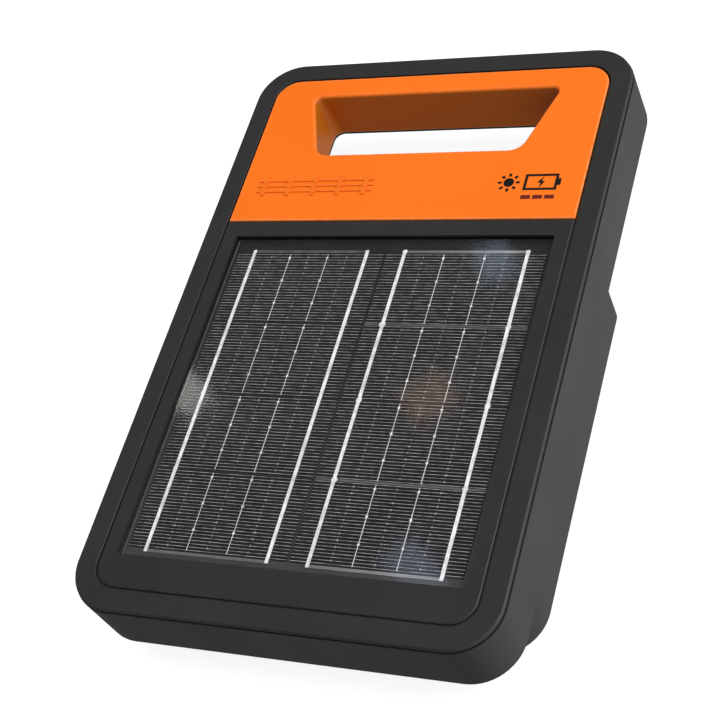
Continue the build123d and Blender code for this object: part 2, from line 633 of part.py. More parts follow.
def make_battery_carrier():
    """Cradle with two end walls; the end walls reach up to the deck."""
    wall_x = BATTERY_LENGTH / 2 + CARRIER_GAP
    tray = slab(2 * (wall_x + CARRIER_WALL), CARRIER_LENGTH, CARRIER_CORNER, CARRIER_LOW_Z,
                BATTERY_Z - CARRIER_DROP, 0, COVER_MID_Y)
    for y in battery_rows():
        tray -= lying_rod(BATTERY_R + CARRIER_FIT, 2 * wall_x, y, BATTERY_Z)
    for side in (-1, 1):
        tray += slab(CARRIER_WALL, CARRIER_LENGTH, 0, CARRIER_LOW_Z + CARRIER_WALL_ROOT, DECK_LOW_Z,
                     side * (wall_x + CARRIER_WALL / 2), COVER_MID_Y)
    return tray


def make_battery_links():
    """A nickel strip across each end of the pair of cells."""
    made = []
    for side in (-1, 1):
        strip = slab(LINK, BATTERY_PITCH + 2 * LINK_REACH, 0, BATTERY_Z - LINK_HALF, BATTERY_Z + LINK_HALF,
                     side * (BATTERY_LENGTH / 2 + LINK), COVER_MID_Y)
        made.append(strip.solid())
    return Compound(made)


# ---- circuit board ---------------------------------------------------------------------
def make_circuit_board():
    """The bare board with its screw holes."""
    board = slab(BOARD_WIDTH, BOARD_HIGH_Y - BOARD_LOW_Y, BOARD_CORNER, BOARD_Z, BOARD_TOP_Z, 0,
                 (BOARD_HIGH_Y + BOARD_LOW_Y) / 2)
    for spot in BOARD_SPOTS:
        board -= rod(BOARD_SCREW_R + SCREW_CLEARANCE, BOARD_Z, BOARD_TOP_Z, *spot)
    return board


def make_transformer_core():
    """Closed ferrite core with a middle post."""
    top = BOARD_Z - CORE_FOOT
    window_low = CORE_LOW_Z + CORE_LEG
    window_high = top - CORE_LEG
    core = slab(CORE_WIDTH, CORE_LENGTH, 0, CORE_LOW_Z, top, CORE_X, CORE_Y)
    core -= slab(CORE_WIDTH - 2 * CORE_LEG, CORE_LENGTH, 0, window_low, window_high, CORE_X, CORE_Y)
    core += slab(CORE_POST, CORE_LENGTH, 0, window_low - CORE_POST_BITE, window_high + CORE_POST_BITE,
                 CORE_X, CORE_Y)
    return core


def make_transformer_winding():
    """The wound block around the core's post."""
    low = CORE_LOW_Z + CORE_LEG + WINDING_GAP
    high = BOARD_Z - CORE_FOOT - CORE_LEG - WINDING_GAP
    winding = slab(WINDING_WIDTH, WINDING_LENGTH, WINDING_CORNER, low, high, CORE_X, CORE_Y)
    return winding - slab(CORE_POST + 2 * WINDING_FIT, CORE_LENGTH + 2 * WINDING_FIT, 0, low, high,
                          CORE_X, CORE_Y)


def make_transformer_feet():
    """Two bars between the core and the board."""
    return Compound([slab(CORE_FOOT_WIDTH, CORE_FOOT_LENGTH, 0, BOARD_Z - CORE_FOOT, BOARD_Z,
                          CORE_X + side * CORE_FOOT_X, CORE_Y).solid() for side in (-1, 1)])


def make_charge_inductor():
    """A drum with a flange at each end."""
    low = BOARD_Z - INDUCTOR
    drum = rod(INDUCTOR_R, low, low + INDUCTOR_FLANGE, INDUCTOR_X, INDUCTOR_Y)
    drum += rod(INDUCTOR_WAIST_R, low + INDUCTOR_FLANGE, BOARD_Z - INDUCTOR_FLANGE, INDUCTOR_X, INDUCTOR_Y)
    return drum + rod(INDUCTOR_R, BOARD_Z - INDUCTOR_FLANGE, BOARD_Z, INDUCTOR_X, INDUCTOR_Y)


def make_board_sockets():
    """The battery's and the panel's sockets."""
    return Compound([slab(SOCKET_WIDTH, SOCKET_LENGTH, SOCKET_CORNER, BOARD_TOP_Z, BOARD_TOP_Z + SOCKET,
                          x, SOCKET_Y).solid() for x in (BATTERY_SOCKET_X, PANEL_SOCKET_X)])


# ---- terminals ---------------------------------------------------------------------------
def make_stud(x):
    """A threaded rod with a hexagon head inside the shelf."""
    stud = rod(STUD_R, STUD_END_Z, STUD_HEAD_Z, x, CONTROL_Y)
    stud = chamfer(flat_edges(stud, STUD_END_Z), STUD_CHAMFER)
    hexagon = Pos(x, CONTROL_Y, STUD_HEAD_Z) * RegularPolygon(STUD_HEAD_R, 6, major_radius=False)
    return stud + extrude(hexagon, STUD_HEAD)


def make_lug(x):
    """Ring lug with a flat tail towards the handle, where its wire is crimped."""
    start = CONTROL_Y + LUG_REACH
    ring = rod(LUG_R, LUG_Z, STUD_HEAD_Z, x, CONTROL_Y)
    ring += slab(LUG_TAIL, LUG_REACH, 0, LUG_Z, STUD_HEAD_Z, x, CONTROL_Y + LUG_REACH / 2)
    ring -= rod(STUD_R, LUG_Z, STUD_HEAD_Z, x, CONTROL_Y)
    barrel = Pos(x, start, BARREL_Z) * Rot(-90, 0, 0) * extrude(Circle(BARREL_R), BARREL)
    bore = Pos(x, start + BARREL_FLOOR, BARREL_Z) * Rot(-90, 0, 0)
    return ring + barrel - bore * extrude(Circle(WIRE_R), BARREL - BARREL_FLOOR)


def make_knob(x):
    """Fluted knob with a blind hole for the stud and its brass insert."""
    knob = rod(KNOB_R, KNOB_LOW_Z, KNOB_TOP_Z, x, CONTROL_Y)
    for i in range(KNOB_FLUTES):
        turn = 2 * math.pi * i / KNOB_FLUTES
        knob -= rod(FLUTE_R, KNOB_LOW_Z, KNOB_TOP_Z - FLUTE_COLLAR,
                    x + FLUTE_REACH * math.cos(turn), CONTROL_Y + FLUTE_REACH * math.sin(turn))
    knob = chamfer(flat_edges(knob, KNOB_LOW_Z), KNOB_CHAMFER)
    knob -= rod(STUD_R + THREAD_CLEARANCE, KNOB_LOW_Z + KNOB_END, KNOB_TOP_Z, x, CONTROL_Y)
    return knob - rod(INSERT_R, KNOB_TOP_Z - INSERT, KNOB_TOP_Z, x, CONTROL_Y)


def make_insert(x):
    """The knob's threaded brass bush."""
    return tube(INSERT_R, STUD_R + THREAD_CLEARANCE, KNOB_TOP_Z - INSERT, KNOB_TOP_Z, x, CONTROL_Y)


# ---- button and vent ---------------------------------------------------------------------
def make_power_switch():
    """Switch body with a well for its plunger."""
    body = slab(SWITCH_SIZE, SWITCH_SIZE, SWITCH_CORNER, SWITCH_LOW_Z, BOARD_Z, 0, CONTROL_Y)
    return body - rod(PLUNGER_R + PLUNGER_CLEARANCE, SWITCH_LOW_Z, BOARD_Z - SWITCH_FLOOR, 0, CONTROL_Y)


def make_power_button():
    """Button cap with a flange inside the shelf."""
    cap = rod(BUTTON_R, BUTTON_LOW_Z, BUTTON_FLANGE_Z, 0, CONTROL_Y)
    cap = fillet(flat_edges(cap, BUTTON_LOW_Z), BUTTON_EDGE_RADIUS)
    return cap + rod(BUTTON_FLANGE_R, BUTTON_FLANGE_Z, PLUNGER_LOW_Z, 0, CONTROL_Y)


def make_vent_plug():
    """A cap on the shelf with a stem through it."""
    cap = rod(VENT_R, SHELF_Z - VENT_CAP, SHELF_Z, VENT_X, CONTROL_Y)
    return cap + rod(VENT_STEM_R, SHELF_Z, SHELF_IN_Z + VENT_STEM, VENT_X, CONTROL_Y)


# ---- wires -------------------------------------------------------------------------------
def make_terminal_wire(side):
    """From the lug up over the board's edge and down onto its output pad."""
    x = side * TERMINAL_X
    start_y = CONTROL_Y + LUG_REACH + BARREL_FLOOR
    pad_x = side * 42
    pad_y = 48.0
    return lead([
        (x, start_y, BARREL_Z), (x, start_y + 8, BARREL_Z), (x - side * 3, start_y + 10, BARREL_Z + 8),
        (x - side * 10, start_y + 4, BARREL_Z + 15), (x - side * 18, start_y - 9, BARREL_Z + 16),
        (pad_x, pad_y, BOARD_TOP_Z + 6.5), (pad_x, pad_y, BOARD_TOP_Z),
    ], WIRE_R)


def make_pair(points):
    """Two wires side by side along one route."""
    made = []
    for side in (-1, 1):
        made.append(lead([(x + side * PAIR_SPREAD, y, z) for x, y, z in points], WIRE_R).solid())
    return Compound(made)


def make_panel_lead():
    """From the panel's junction box to its socket."""
    exit_y = JUNCTION_Y + JUNCTION_LENGTH / 2
    end_y = SOCKET_Y - SOCKET_LENGTH / 2
    return make_pair([
        (6, exit_y, 42.0), (6, exit_y + 6, 42.0), (11, exit_y + 12, 40.5), (18, exit_y + 18, 38.0),
        (PANEL_SOCKET_X, end_y - 6, SOCKET_WIRE_Z), (PANEL_SOCKET_X, end_y, SOCKET_WIRE_Z),
    ])


def make_battery_lead():
    """From the battery's upper end to its socket."""
    exit_y = COVER_MID_Y + BATTERY_PITCH / 2 + BATTERY_R
    end_y = SOCKET_Y - SOCKET_LENGTH / 2
    return make_pair([
        (-31, exit_y + 0.2, 34.0), (-30, exit_y + 8, 36.5), (-25, exit_y + 16, 38.0),
        (BATTERY_SOCKET_X, end_y - 7, SOCKET_WIRE_Z), (BATTERY_SOCKET_X, end_y, SOCKET_WIRE_Z),
    ])


# ---- write one file per part -----------------------------------------------------------
parts = {}
parts["front_rim"] = make_front_rim()
parts["panel_bezel"] = make_panel_bezel()
parts["handle_fascia"] = make_handle_fascia()
parts["rear_housing"] = make_rear_housing()
parts["housing_seal"] = frame(HOUSING_WIDTH - 2 * SEAL_INSET, HOUSING_LENGTH - 2 * SEAL_INSET,
                              HOUSING_CORNER - SEAL_INSET, SEAL_WIDTH, PARTING_Z, FLANGE_Z)
parts["housing_screws"] = screws(SCREW_SPOTS, SCREW_SEAT_Z, SCREW_TIP_Z, SCREW_HEAD_R, SCREW_HEAD,
                                 SCREW_SHANK_R, -1)

parts["solar_glass"] = slab(GLASS_WIDTH, GLASS_LENGTH, PANEL_CORNER, GLASS_Z - GLASS, GLASS_Z, 0, PANEL_MID_Y)
parts["solar_cells"] = make_cells()
parts["cell_ribbons"] = make_ribbons()
parts["bus_strips"] = make_bus_strips()
parts["solar_backsheet"] = slab(GLASS_WIDTH, GLASS_LENGTH, PANEL_CORNER, BACKSHEET_Z, CELL_Z, 0, PANEL_MID_Y)
parts["panel_gasket"] = frame(GLASS_WIDTH, GLASS_LENGTH, PANEL_CORNER, PANEL_GASKET, DECK_Z, BACKSHEET_Z,
                              PANEL_MID_Y)
parts["panel_junction"] = slab(JUNCTION_WIDTH, JUNCTION_LENGTH, JUNCTION_CORNER, JUNCTION_LOW_Z,
                               BACKSHEET_Z, 0, JUNCTION_Y)

parts["battery_cover"] = make_battery_cover()
parts["cover_seal"] = frame(SERVICE_OPENING_WIDTH + 2 * COVER_SEAL_REACH,
                            SERVICE_OPENING_LENGTH + 2 * COVER_SEAL_REACH, SERVICE_CORNER,
                            COVER_SEAL_WIDTH, SERVICE_COVER, SERVICE_SEAT_LOW_Z, COVER_MID_Y)
parts["cover_screws"] = screws(COVER_SPOTS, COVER_SEAT, COVER_SCREW_TIP_Z, BOARD_SCREW_HEAD_R,
                               COVER_SCREW_HEAD, BOARD_SCREW_R, -1)
parts["battery_pad"] = slab(PAD_WIDTH, PAD_LENGTH, CARRIER_CORNER, SERVICE_COVER, CARRIER_LOW_Z,
                            0, COVER_MID_Y)
parts["battery_carrier"] = make_battery_carrier()
parts["battery_cells"] = make_battery_cells()
parts["battery_links"] = make_battery_links()

parts["circuit_board"] = make_circuit_board()
parts["board_screws"] = screws(BOARD_SPOTS, BOARD_TOP_Z, BOARD_Z - BOARD_SCREW_BITE, BOARD_SCREW_HEAD_R,
                               BOARD_SCREW_HEAD, BOARD_SCREW_R, 1)
parts["transformer_core"] = make_transformer_core()
parts["transformer_winding"] = make_transformer_winding()
parts["transformer_feet"] = make_transformer_feet()
parts["storage_capacitor"] = slab(CAPACITOR_WIDTH, CAPACITOR_LENGTH, CAPACITOR_CORNER, BOARD_Z - CAPACITOR,
                                  BOARD_Z, CAPACITOR_X, CAPACITOR_Y)
parts["charge_inductor"] = make_charge_inductor()
parts["power_thyristor"] = slab(THYRISTOR_WIDTH, THYRISTOR_LENGTH, THYRISTOR_CORNER, BOARD_Z - THYRISTOR,
                                BOARD_Z - TAB, THYRISTOR_X, THYRISTOR_Y)
parts["thyristor_tab"] = slab(THYRISTOR_WIDTH, TAB_LENGTH, THYRISTOR_CORNER, BOARD_Z - TAB, BOARD_Z,
                              THYRISTOR_X, THYRISTOR_Y + TAB_SHIFT)
parts["control_chip"] = slab(CHIP_WIDTH, CHIP_LENGTH, CHIP_CORNER, BOARD_TOP_Z, BOARD_TOP_Z + CHIP,
                             CHIP_X, CHIP_Y)
parts["board_sockets"] = make_board_sockets()

parts["power_switch"] = make_power_switch()
parts["switch_plunger"] = rod(PLUNGER_R, PLUNGER_LOW_Z, BOARD_Z - PLUNGER_TOP, 0, CONTROL_Y)
parts["power_button"] = make_power_button()
parts["button_ring"] = tube(BUTTON_RING_R, BUTTON_R + BUTTON_CLEARANCE, SHELF_Z - BUTTON_RING, SHELF_Z,
                            0, CONTROL_Y)
parts["light_pipe"] = rod(LIGHT_PIPE_R, SHELF_Z - LIGHT_PIPE_PROUD, BOARD_Z - LAMP, LAMP_X, CONTROL_Y)
parts["indicator_lamp"] = rod(LAMP_R, BOARD_Z - LAMP, BOARD_Z, LAMP_X, CONTROL_Y)
parts["vent_plug"] = make_vent_plug()

for name, side in (("fence", -1), ("earth", 1)):
    at = side * TERMINAL_X
    parts[name + "_stud"] = make_stud(at)
    parts[name + "_stud_seal"] = tube(SEAL_R, STUD_R, SHELF_IN_Z, LUG_Z, at, CONTROL_Y)
    parts[name + "_lug"] = make_lug(at)
    parts[name + "_washer"] = tube(WASHER_R, STUD_R + WASHER_CLEARANCE, KNOB_TOP_Z, SHELF_Z, at, CONTROL_Y)
    parts[name + "_knob"] = make_knob(at)
    parts[name + "_knob_insert"] = make_insert(at)
    parts[name + "_wire"] = make_terminal_wire(side)

parts["panel_lead"] = make_panel_lead()
parts["battery_lead"] = make_battery_lead()

os.makedirs("parts", exist_ok=True)
for name, shape in parts.items():
    export_step(shape, f"parts/{name}.step")
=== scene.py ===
import math
import random

import bmesh
import bpy
from mathutils import Matrix, Quaternion, Vector


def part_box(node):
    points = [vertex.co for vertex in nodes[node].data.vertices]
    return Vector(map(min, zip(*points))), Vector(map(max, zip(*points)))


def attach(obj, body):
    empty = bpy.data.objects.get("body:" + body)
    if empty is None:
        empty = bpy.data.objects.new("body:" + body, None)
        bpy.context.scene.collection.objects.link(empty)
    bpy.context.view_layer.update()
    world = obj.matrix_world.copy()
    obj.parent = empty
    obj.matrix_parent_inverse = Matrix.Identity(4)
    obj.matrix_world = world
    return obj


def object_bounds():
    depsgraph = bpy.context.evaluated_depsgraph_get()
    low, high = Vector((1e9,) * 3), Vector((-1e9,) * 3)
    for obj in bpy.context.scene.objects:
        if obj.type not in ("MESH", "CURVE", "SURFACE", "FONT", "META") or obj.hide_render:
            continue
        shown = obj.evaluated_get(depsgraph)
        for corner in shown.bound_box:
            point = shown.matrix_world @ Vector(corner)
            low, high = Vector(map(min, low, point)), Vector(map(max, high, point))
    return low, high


# Portable solar fence energizer, lying on its back with the solar panel facing up.
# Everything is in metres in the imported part's own frame: X across the unit, +Y towards the
# carry handle, +Z out of the front face.

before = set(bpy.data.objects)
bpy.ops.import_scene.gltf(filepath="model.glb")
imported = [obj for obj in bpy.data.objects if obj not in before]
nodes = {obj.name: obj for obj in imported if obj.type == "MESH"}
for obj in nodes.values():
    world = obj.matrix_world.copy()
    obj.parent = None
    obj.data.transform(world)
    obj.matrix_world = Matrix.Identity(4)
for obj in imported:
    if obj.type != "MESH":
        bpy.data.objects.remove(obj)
cad_low, cad_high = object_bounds()
MM = 0.001


# ---- measuring the frame ------------------------------------------------------------
def spans(node, axis):
    """The stretches that a node's square-cornered solids cover along one axis."""
    places = sorted({round(v.co[axis], 5) for v in nodes[node].data.vertices})
    return list(zip(places[::2], places[1::2]))


def middle(node):
    """The centre of a node's box."""
    low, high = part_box(node)
    return (low + high) / 2


# ---- mesh helpers -------------------------------------------------------------------
BLOCK_FACES = ((0, 1, 3, 2), (4, 6, 7, 5), (0, 4, 5, 1), (2, 3, 7, 6), (0, 2, 6, 4), (1, 5, 7, 3))
BOLT = ((-0.05, -0.5), (0.28, 0.08), (0.05, 0.08), (0.16, 0.5), (-0.28, -0.06), (-0.03, -0.06))


def piece(name, mesh, material, smooth=False):
    """Makes an object from a bmesh, gives it its finish and lets it ride on the casing."""
    data = bpy.data.meshes.new(name)
    mesh.normal_update()
    mesh.to_mesh(data)
    mesh.free()
    for face in data.polygons:
        face.use_smooth = smooth
    made = bpy.data.objects.new(name, data)
    bpy.context.scene.collection.objects.link(made)
    data.materials.append(material)
    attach(made, "root")


def add_bar(mesh, low, high):
    """A block between two corners."""
    corners = [mesh.verts.new((x, y, z)) for x in (low[0], high[0])
               for y in (low[1], high[1]) for z in (low[2], high[2])]
    for face in BLOCK_FACES:
        mesh.faces.new([corners[i] for i in face])


def add_plate(mesh, outline, low, high):
    """A flat plate with a counter-clockwise outline."""
    foot = [mesh.verts.new((x, y, low)) for x, y in outline]
    top = [mesh.verts.new((x, y, high)) for x, y in outline]
    mesh.faces.new(foot[::-1])
    mesh.faces.new(top)
    for i in range(len(outline)):
        j = (i + 1) % len(outline)
        mesh.faces.new((foot[i], foot[j], top[j], top[i]))


def add_disc(mesh, centre, radius, low, high, steps=32):
    """A flat round plate."""
    turns = [math.tau * i / steps for i in range(steps)]
    add_plate(mesh, [(centre[0] + radius * math.cos(a), centre[1] + radius * math.sin(a))
                     for a in turns], low, high)


def add_arc(mesh, centre, outer, inner, low, high, start, turn, steps=40):
    """Part of a flat ring, with square edges."""
    stations = []
    for i in range(steps + 1):
        a = start + turn * i / steps
        stations.append([
            mesh.verts.new((centre[0] + math.cos(a) * r, centre[1] + math.sin(a) * r, z))
            for r, z in ((outer, low), (outer, high), (inner, high), (inner, low))])
    for one, other in zip(stations, stations[1:]):
        for k in range(4):
            mesh.faces.new((one[k], other[k], other[(k + 1) % 4], one[(k + 1) % 4]))
    mesh.faces.new(stations[0])
    mesh.faces.new(stations[-1][::-1])


def add_lump(mesh, centre, size):
    """A rounded lump of solder."""
    shape = Matrix.Translation(centre) @ Matrix.Diagonal((*size, 1.0))
    bmesh.ops.create_icosphere(mesh, subdivisions=2, radius=1.0, matrix=shape)


def add_bolt(mesh, centre, height, low, high):
    """A lightning bolt."""
    outline = [(centre[0] + x * height, centre[1] + y * height) for x, y in BOLT]
    add_plate(mesh, outline, low, high)


# ---- material helpers ---------------------------------------------------------------
class Finish:
    """A procedural material, built up one shader node at a time."""

    def __init__(self, name, roughness=0.5, metallic=0.0, specular=0.5, ior=1.5, coat=0.0):
        self.material = bpy.data.materials.new(name)
        self.material.use_nodes = True
        self.tree = self.material.node_tree
        self.shader = self.tree.nodes["Principled BSDF"]
        for socket, value in (("Roughness", roughness), ("Metallic", metallic),
                              ("Specular IOR Level", specular), ("IOR", ior),
                              ("Coat Weight", coat)):
            self.shader.inputs[socket].default_value = value
        self.where = self.add("ShaderNodeTexCoord").outputs["Object"]

    def add(self, kind, inputs=None, **settings):
        """Adds a node. A socket given as an input is linked, anything else is its value."""
        node = self.tree.nodes.new(kind)
        for key, value in settings.items():
            setattr(node, key, value)
        for key, value in (inputs or {}).items():
            if isinstance(value, bpy.types.NodeSocket):
                self.tree.links.new(value, node.inputs[key])
            else:
                node.inputs[key].default_value = value
        return node

    def calc(self, operation, *values):
        node = self.add("ShaderNodeMath", dict(enumerate(values)), operation=operation)
        return node.outputs[0]

    def place(self, axis):
        """The coordinate along one axis."""
        return self.add("ShaderNodeSeparateXYZ", {0: self.where}).outputs[axis]

    def noise(self, size, detail=2.0, stretch=(1, 1, 1)):
        """Noise with features about one size across, in metres."""
        spot = self.add("ShaderNodeVectorMath", {0: self.where, 1: stretch}, operation="MULTIPLY")
        return self.add("ShaderNodeTexNoise", {"Vector": spot.outputs[0], "Scale": 1 / size,
                                               "Detail": detail}).outputs["Fac"]

    def spread(self, value, low, high, old_low=0.35, old_high=0.65):
        """Maps a value onto a range and keeps it there. By default the value is a noise's."""
        return self.add("ShaderNodeMapRange", {
            "Value": value, "From Min": old_low, "From Max": old_high,
            "To Min": low, "To Max": high}).outputs[0]

    def lower(self, node):
        """1 at the foot of a CAD node, falling to 0 at its head towards the handle."""
        low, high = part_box(node)
        return self.spread(self.place("Y"), 1, 0, low.y, high.y)

    def blend(self, factor, one, other):
        """Mixes two colours: they are the mix node's sockets 6 and 7, and its result is 2."""
        return self.add("ShaderNodeMix", {0: factor, 6: one, 7: other}, data_type="RGBA").outputs[2]

    def bump(self, height, depth):
        """The normals of a surface that rises by depth with the height."""
        return self.add("ShaderNodeBump", {"Height": height, "Distance": depth}).outputs[0]

    def use(self, **links):
        """Links sockets to the shader's inputs by name."""
        for name, socket in links.items():
            self.tree.links.new(socket, self.shader.inputs[name.replace("_", " ")])

    def surface(self, socket):
        """Shows another shader in place of the usual one."""
        self.tree.links.new(socket, self.tree.nodes["Material Output"].inputs["Surface"])


def grey(value, warmth=0.0):
    return (value * (1 + warmth), value, value * (1 - warmth), 1.0)


def scaled(colour, factor):
    return (*(min(c * factor, 1.0) for c in colour[:3]), 1.0)


CLOUD_SIZE = 35 * MM           # slow drifts in a moulding's tone
SPECK_SIZE = 1.7               # its specks, in grains
WEAR_SIZE = 4 * MM             # patches of wear along its edges
# painted shade on steep faces is full below the first of these and gone above the second
UPRIGHT, LEVEL = 0.25, 0.7     # Z of the normal where a face starts and ends being upright


def moulded_plastic(name, colour, roughness, grain=0.45 * MM, depth=0.03 * MM, cloud=0.10,
                    specular=0.5, pale_edge=None, edge_width=0.7 * MM, edge_from=0.995,
                    edge_to=0.86, upright_shade=None):
    """Injection-moulded plastic: an eroded grain, faint flow clouds and paler edges.
    Edges turn paler where the rounded normal leaves the true one, as their cosine falls through
    the band the edge arguments give. This is wear, and on the orange fascia also a painted edge
    highlight. Faces that stand steep can be given a darker colour of their own: painted shade."""
    made = Finish(name, roughness=roughness, specular=specular)
    clouds = made.noise(CLOUD_SIZE, detail=3)
    specks = made.noise(SPECK_SIZE * grain, detail=1)
    tone = made.blend(made.spread(clouds, 0, 1),
                      scaled(colour, 1 - cloud), scaled(colour, 1 + cloud))
    tone = made.blend(made.spread(specks, 0, 0.35), tone, scaled(colour, 1 + 2.5 * cloud))
    true = made.add("ShaderNodeNewGeometry").outputs["Normal"]
    # painted shade: steep faces take their own darker colour, as they get less light from above
    if upright_shade:
        rise = made.add("ShaderNodeSeparateXYZ", {0: true}).outputs["Z"]
        tone = made.blend(made.spread(rise, 1, 0, UPRIGHT, LEVEL), tone, upright_shade)
    rounded = made.add("ShaderNodeBevel", {"Radius": edge_width}, samples=4).outputs[0]
    cosine = made.add("ShaderNodeVectorMath", {0: rounded, 1: true}, operation="DOT_PRODUCT")
    edge = made.spread(cosine.outputs["Value"], 1, 0, edge_to, edge_from)
    # paler edges: wear in patches, and on the fascia a painted edge highlight
    pale_edge_mask = made.calc("MULTIPLY", edge, made.spread(made.noise(WEAR_SIZE, detail=3), 0.2, 1))
    made.use(Base_Color=made.blend(pale_edge_mask, tone, pale_edge or scaled(colour, 1.35)),
             Roughness=made.spread(clouds, roughness - 0.04, roughness + 0.05),
             Normal=made.bump(made.noise(grain, detail=2), depth))
    return made.material


def soft_rubber(name, colour, roughness=0.75):
    """Matt rubber with a dusty bloom."""
    made = Finish(name, roughness=roughness, specular=0.3)
    dust = made.noise(6 * MM, detail=4)
    tone = made.blend(made.spread(dust, 0, 1), scaled(colour, 0.85), scaled(colour, 1.35))
    made.use(Base_Color=tone, Roughness=made.spread(dust, roughness - 0.08, roughness + 0.1),
             Normal=made.bump(made.noise(0.6 * MM, detail=3), 0.04 * MM))
    return made.material


def worked_metal(name, colour, roughness, stretch=(1, 1, 1)):
    """Metal with fine working marks and a faint tarnish."""
    made = Finish(name, roughness=roughness, metallic=1.0)
    marks = made.noise(0.4 * MM, detail=3, stretch=stretch)
    film = made.noise(4 * MM, detail=3)
    tone = made.blend(made.spread(film, 0, 1), colour, scaled(colour, 0.88))
    made.use(Base_Color=tone, Roughness=made.spread(marks, roughness - 0.08, roughness + 0.12),
             Normal=made.bump(marks, 0.006 * MM))
    return made.material


def wound_wire(name, colour, pitch):
    """Close turns of enamelled wire, one ridge a turn along Z. A wave's scale of 1 is 20 ridges
    a metre."""
    made = Finish(name, roughness=0.3, metallic=0.7, coat=0.6)
    turns = made.add("ShaderNodeTexWave", {"Vector": made.where, "Scale": 1 / (20 * pitch),
                                           "Distortion": 0.4}, bands_direction="Z").outputs["Fac"]
    # painted shade: the wire is darker where its turns dip
    made.use(Base_Color=made.blend(turns, scaled(colour, 0.5), colour),
             Normal=made.bump(turns, 0.2 * MM))
    return made.material


# ---- materials ----------------------------------------------------------------------
BLACK = grey(0.0134, 0.012)
ORANGE = (0.74, 0.140, 0.0070, 1.0)
# painted edge highlight for the fascia, broken into patches like wear
ORANGE_EDGE_HIGHLIGHT = (0.78, 0.33, 0.15, 1.0)
# painted shade for the fascia's steep faces
ORANGE_PAINTED_SHADE = (0.48, 0.118, 0.0048, 1.0)
SILICON = (0.0065, 0.0063, 0.0068, 1.0)
SILICON_BLUE = (0.0095, 0.0095, 0.0115, 1.0)
MASK_GREEN = (0.012, 0.085, 0.03, 1.0)
MASK_DARK = (0.010, 0.07, 0.026, 1.0)
TRACK_GREEN = (0.025, 0.14, 0.05, 1.0)
WEAVE_CELLS = 1100.0           # in a metre
TRACK_CELLS = 55.0
FOAM_CELLS = 900.0


def silicon():
    """Anti-reflection coated wafer, with a slow drift in tone."""
    made = Finish("silicon_wafer", roughness=0.42, specular=0.12)
    drift = made.noise(30 * MM, detail=3)
    fine = made.noise(1.2 * MM, detail=2)
    tone = made.blend(made.spread(drift, 0, 1), scaled(SILICON, 0.8), SILICON_BLUE)
    tone = made.blend(made.spread(fine, 0, 0.5), tone, scaled(SILICON, 1.5))
    made.use(Base_Color=tone, Roughness=made.spread(fine, 0.36, 0.5),
             Normal=made.bump(fine, 0.01 * MM))
    return made.material


def backing():
    """Dark backing film, slightly wrinkled under the laminate, paler towards its foot: painted
    shade darkens it towards its head.
    """
    made = Finish("backing_film", roughness=0.38, specular=0.15)
    waves = made.noise(12 * MM, detail=3)
    # painted shade: darker towards the head of the glass, paler towards its foot
    tone = made.blend(made.lower("solar_glass"), grey(0.009), grey(0.050, 0.02))
    made.use(Base_Color=made.blend(made.spread(waves, 0, 0.35), tone, grey(0.022, 0.04)),
             Roughness=made.spread(waves, 0.3, 0.48), Normal=made.bump(waves, 0.15 * MM))
    return made.material


def printed_silver():
    """Screen-printed silver paste, fired rough, a little uneven along each line."""
    made = Finish("printed_silver", roughness=0.55, metallic=0.35)
    run = made.noise(2.2 * MM, detail=3, stretch=(0.6, 1, 1))
    made.use(Base_Color=made.blend(made.spread(run, 0, 1), grey(0.20), grey(0.62)),
             Normal=made.bump(run, 0.02 * MM))
    return made.material


def tinned():
    """Tinned copper ribbon: bright, with a rippled solder skin."""
    made = Finish("tinned_ribbon", roughness=0.38, metallic=0.3)
    ripple = made.noise(2.5 * MM, detail=3, stretch=(1, 0.7, 1))
    made.use(Base_Color=made.blend(made.spread(ripple, 0, 1), grey(0.70), grey(0.98)),
             Roughness=made.spread(ripple, 0.3, 0.5), Normal=made.bump(ripple, 0.06 * MM))
    return made.material


def strip_with_painted_glint():
    """Cross strips behind a dark film, so that they show dimly. The two end strips of the right
    column carry a painted glint, brighter towards the right, for tinned strip catching the light."""
    made = Finish("strip_with_painted_glint", roughness=0.5, specular=0.2)
    film = made.noise(4 * MM, detail=3, stretch=(0.5, 1, 1))
    tone = made.blend(made.lower("bus_strips"), grey(0.045), grey(0.11))
    low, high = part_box("bus_strips")
    centre, half = (low + high) / 2, (high.y - low.y) / 2
    away = made.calc("ABSOLUTE", made.calc("SUBTRACT", made.place("Y"), centre.y))
    glint_ends = made.spread(away, 0, 1, 0.8 * half, 0.9 * half)
    right = made.spread(made.place("X"), 0, 1, centre.x - 2 * MM, high.x - 8 * MM)
    # painted glint: the end strips of the right column brighten towards the right, as lit tinned
    # strip
    tone = made.blend(made.calc("MULTIPLY", glint_ends, right), tone, grey(0.29, 0.03))
    made.use(Base_Color=made.blend(made.spread(film, 0, 0.6), tone, grey(0.15)),
             Normal=made.bump(film, 0.03 * MM))
    return made.material


def panel_glass():
    """Clear cover sheet: mirror gloss on its outside only, with a very slight pebble."""
    made = Finish("panel_glass")
    made.tree.nodes.remove(made.shader)
    pebble = made.bump(made.noise(1.1 * MM, detail=2), 0.006 * MM)
    clear = made.add("ShaderNodeBsdfTransparent", {"Color": grey(0.96)}).outputs[0]
    shine = made.add("ShaderNodeBsdfGlossy", {"Color": grey(1.0), "Roughness": 0.055,
                                              "Normal": pebble}).outputs[0]
    fresnel = made.add("ShaderNodeFresnel", {"IOR": 1.42, "Normal": pebble}).outputs[0]
    inside = made.add("ShaderNodeNewGeometry").outputs["Backfacing"]
    share = made.calc("MULTIPLY", fresnel, made.calc("SUBTRACT", 1.0, inside))
    made.surface(made.add("ShaderNodeMixShader", {0: share, 1: clear, 2: shine}).outputs[0])
    return made.material


